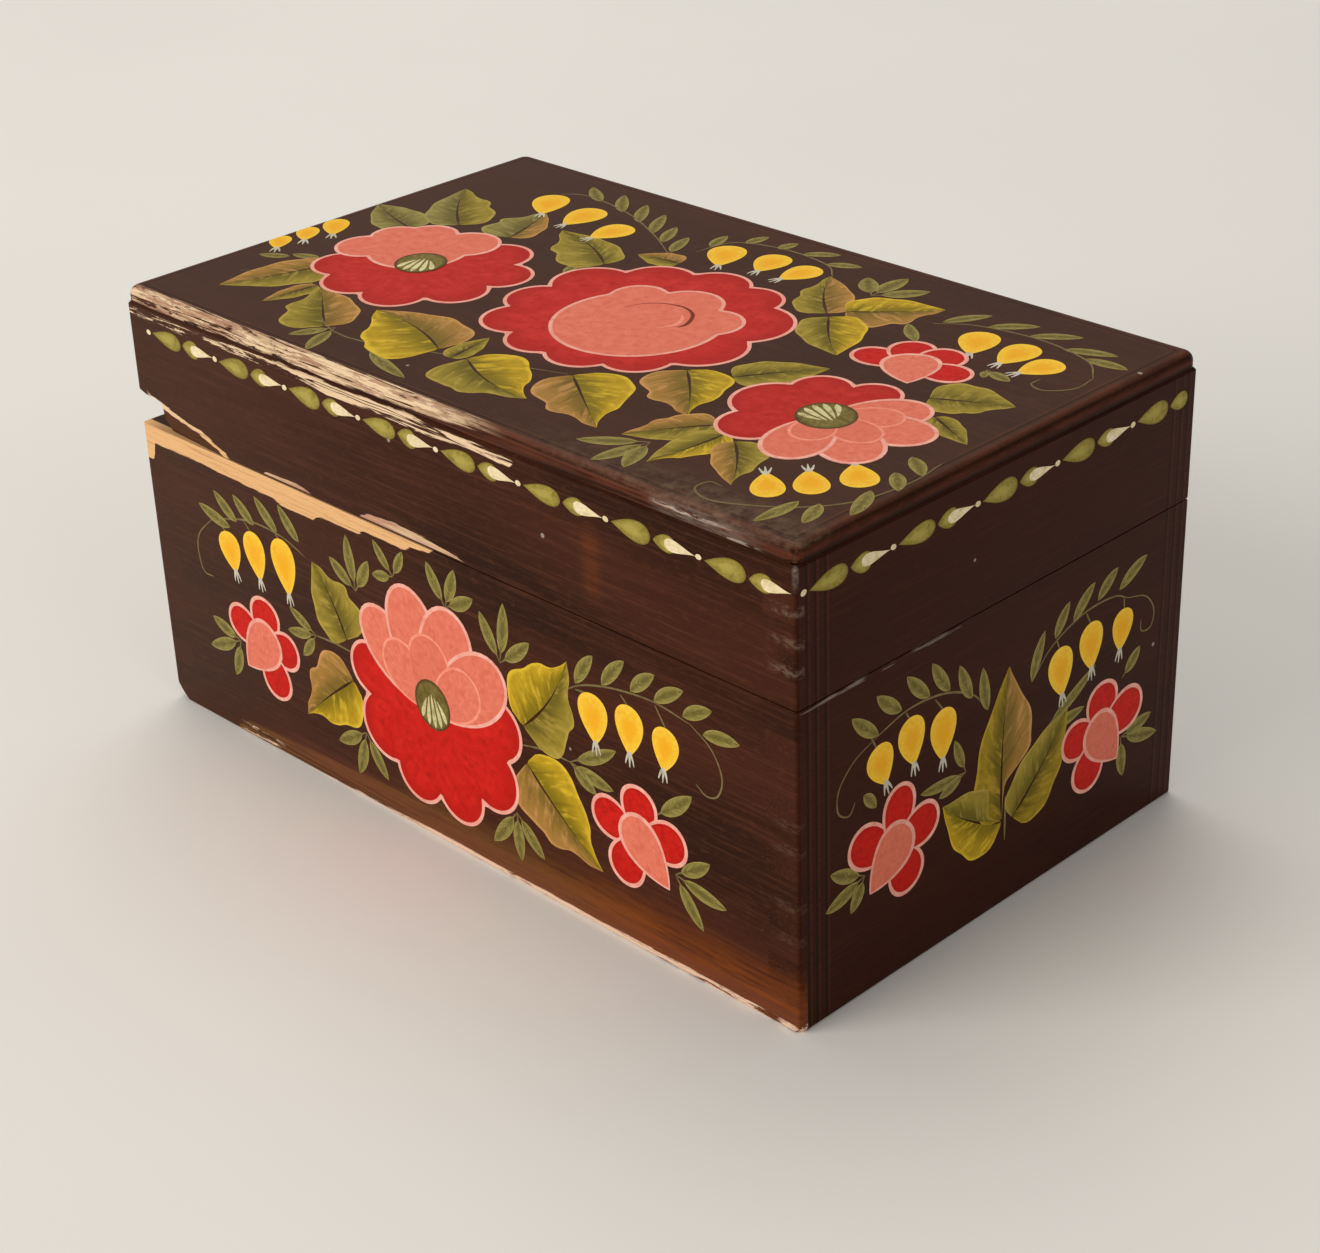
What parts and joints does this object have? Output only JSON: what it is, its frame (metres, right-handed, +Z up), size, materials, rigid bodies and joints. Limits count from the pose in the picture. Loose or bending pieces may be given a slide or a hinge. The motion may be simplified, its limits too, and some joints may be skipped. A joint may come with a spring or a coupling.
{
  "type": "jewelry box",
  "caption": "Rectangular lacquered wooden keepsake box with finger-jointed walls, a deep lid with a moulded top edge, and let-in butt hinges at the back.",
  "frame": {"origin": "centre of the bottom of the bounding box, on the surface that the box stands on", "axes": "+X along the long front towards the right end, +Y from the front to the hinged back, +Z up"},
  "size_m": [0.2, 0.1208, 0.1037],
  "materials": {
    "lacquered_wood": "dark brown gloss lacquer over stained wood, rubbed through at the edges",
    "bare_wood": "pale bare wood where the lacquer has chipped off",
    "hinge_brass": "dull brass",
    "screw_brass": "dull brass",
    "paint_red": "brushed paint under lacquer",
    "paint_coral": "brushed paint under lacquer",
    "paint_pink": "brushed paint under lacquer",
    "paint_green": "brushed paint under lacquer",
    "paint_yellow": "brushed paint under lacquer",
    "paint_cream": "brushed paint under lacquer"
  },
  "bodies": {
    "base": {"base_front_panel": "lacquered_wood", "base_back_panel": "lacquered_wood", "base_left_panel": "lacquered_wood", "base_right_panel": "lacquered_wood", "base_bottom_board": "lacquered_wood", "hinge_left_base_leaf": "hinge_brass", "hinge_left_pin": "hinge_brass", "hinge_right_base_leaf": "hinge_brass", "hinge_right_pin": "hinge_brass", "base_hinge_screws": "screw_brass"},
    "lid": {"lid_front_rim": "lacquered_wood", "lid_back_rim": "lacquered_wood", "lid_left_rim": "lacquered_wood", "lid_right_rim": "lacquered_wood", "lid_top_board": "lacquered_wood", "hinge_left_lid_leaf": "hinge_brass", "hinge_right_lid_leaf": "hinge_brass", "lid_hinge_screws": "screw_brass"}
  },
  "joints": [
    {"name": "lid_hinge", "type": "hinge", "parent": "base", "child": "lid", "pos_m": [0, 0.05875, 0.071], "axis": [-1, 0, 0], "range_deg": [0, 100]}
  ]
}
